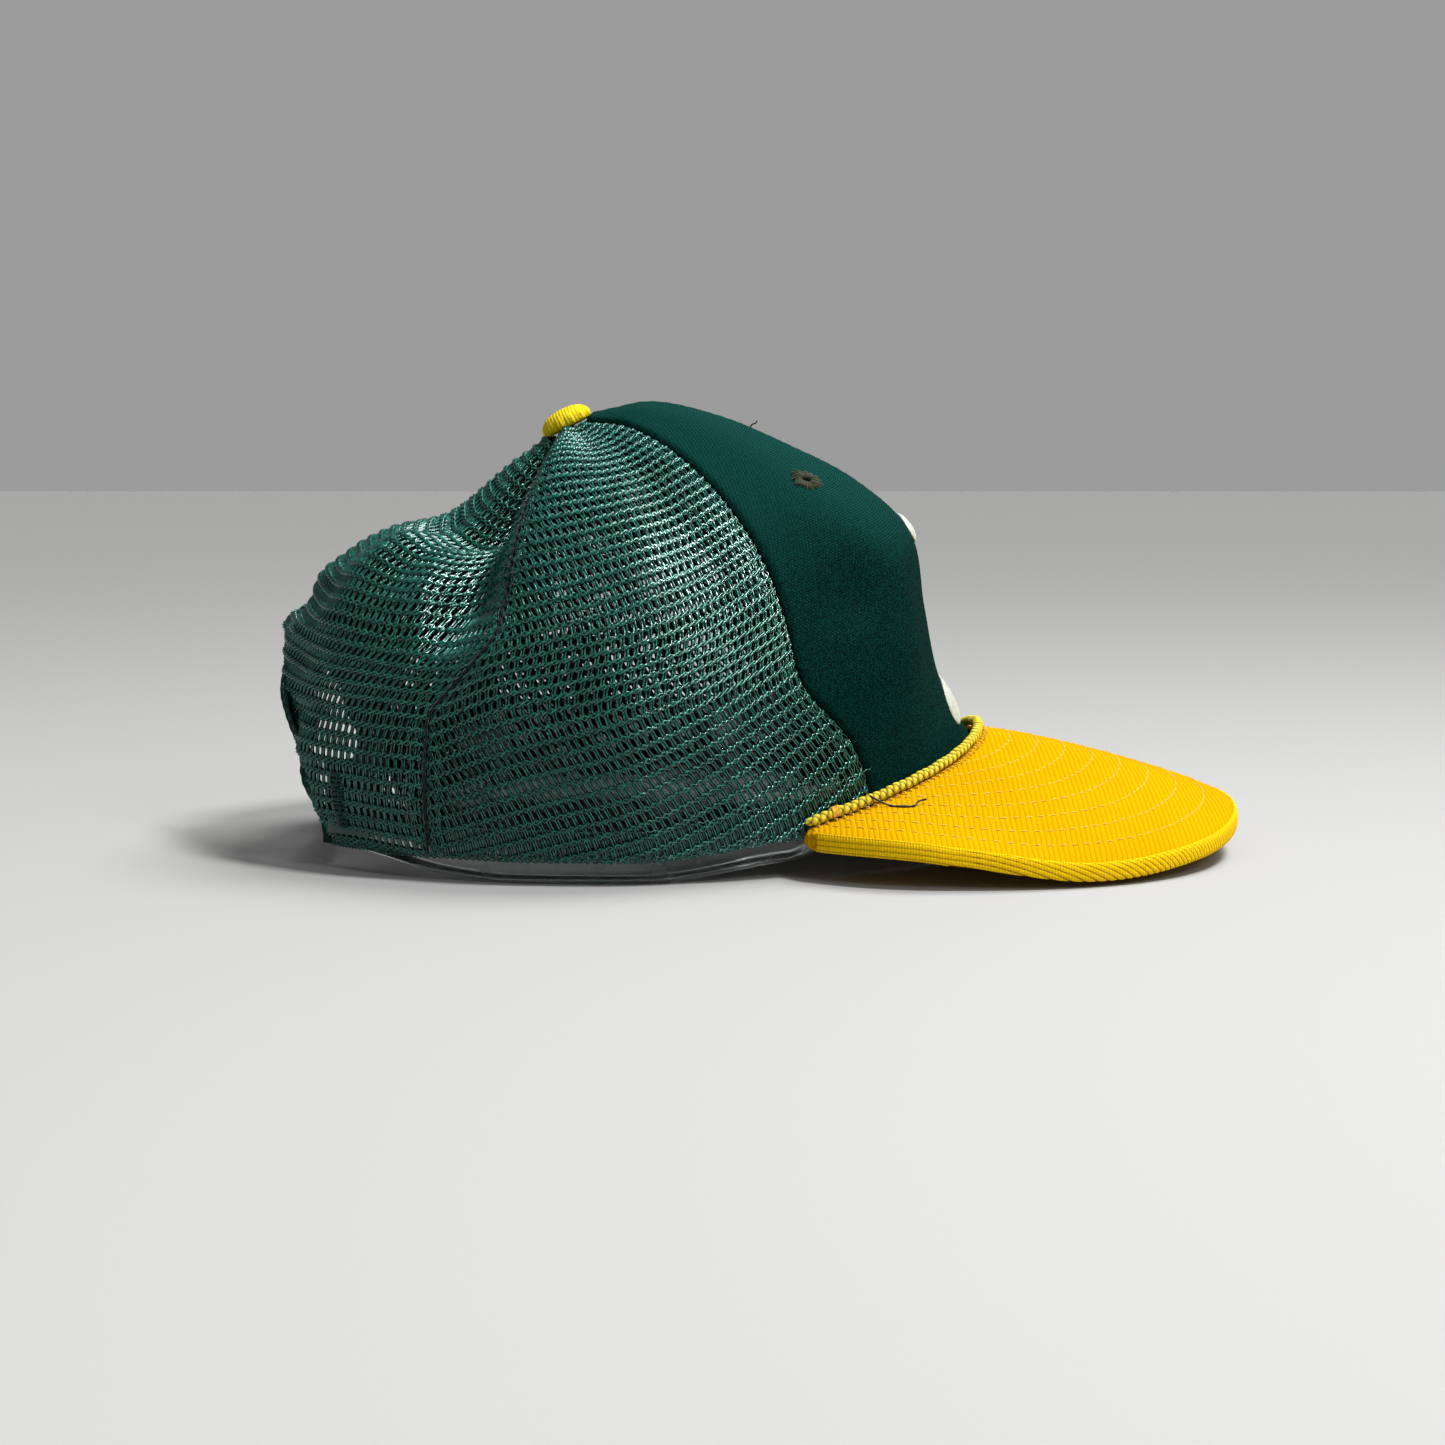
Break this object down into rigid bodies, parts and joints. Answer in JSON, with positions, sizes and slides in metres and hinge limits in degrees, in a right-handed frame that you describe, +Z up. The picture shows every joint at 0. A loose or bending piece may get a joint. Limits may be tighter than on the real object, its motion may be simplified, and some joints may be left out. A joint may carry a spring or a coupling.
{
  "type": "trucker mesh cap",
  "caption": "Trucker cap with stiff cloth front, caved-in mesh sides and back, ribbed curved bill, seam rope, clear sweatband and snap strap.",
  "frame": {"origin": "on the table the cap rests on, at the middle of its bounding box", "axes": "+Z up; -Y the way the bill points; -X the wearer's right"},
  "size_m": [0.176, 0.2597, 0.1212],
  "materials": {
    "front_cloth": "fine green knit, smooth and slightly sheened",
    "mesh_knit": "open glossy polyester net, dark teal green",
    "seam_tape": "flat woven tape",
    "front_foam": "pale foam sheet behind the front panels",
    "bill_cloth": "ribbed golden yellow cloth, sewn in rows",
    "button_cloth": "ribbed yellow cloth over a metal shell",
    "bill_rope": "braided lemon yellow cord",
    "bill_board": "flat stiff board",
    "clear_band": "clear soft plastic",
    "strap_plastic": "moulded dark green plastic",
    "olive_thread": "sewing thread",
    "white_thread": "satin stitch and woven label",
    "rivet_steel": "plated rivet"
  },
  "bodies": {
    "cap_shell": {"front_panel_right": "front_cloth", "front_panel_left": "front_cloth", "side_mesh_right": "mesh_knit", "side_mesh_left": "mesh_knit", "rear_mesh_right": "mesh_knit", "rear_mesh_left": "mesh_knit", "front_side_tape_right": "seam_tape", "front_side_tape_left": "seam_tape", "side_rear_tape_right": "seam_tape", "side_rear_tape_left": "seam_tape", "centre_front_tape": "seam_tape", "centre_back_tape": "seam_tape", "rear_arch_binding": "seam_tape", "front_lining_right": "front_foam", "front_lining_left": "front_foam", "visor_top_cover": "bill_cloth", "visor_under_cover": "bill_cloth", "button_cover": "button_cloth", "brim_rope": "bill_rope", "visor_board": "bill_board", "sweatband": "clear_band", "strap_hole_tab": "strap_plastic", "strap_peg_tab": "strap_plastic", "eyelet_right": "olive_thread", "eyelet_left": "olive_thread", "rope_tack_right": "olive_thread", "rope_tack_left": "olive_thread", "strap_tack_right": "olive_thread", "strap_tack_left": "olive_thread", "emblem_upper_bar": "white_thread", "emblem_lower_bar": "white_thread", "care_label": "white_thread", "button_shank": "rivet_steel"},
    "strap_hole_side": {"strap_hole_half": "strap_plastic"},
    "strap_peg_side": {"strap_peg_half": "strap_plastic"}
  },
  "joints": [
    {"name": "strap_hole_swing", "type": "hinge", "parent": "cap_shell", "child": "strap_hole_side", "pos_m": [0.043, 0.1102, 0.0185], "axis": [0, 0, -1], "range_deg": [0, 60]},
    {"name": "strap_peg_swing", "type": "hinge", "parent": "cap_shell", "child": "strap_peg_side", "pos_m": [-0.043, 0.1086, 0.0185], "axis": [0, 0, -1], "range_deg": [0, 25]}
  ]
}
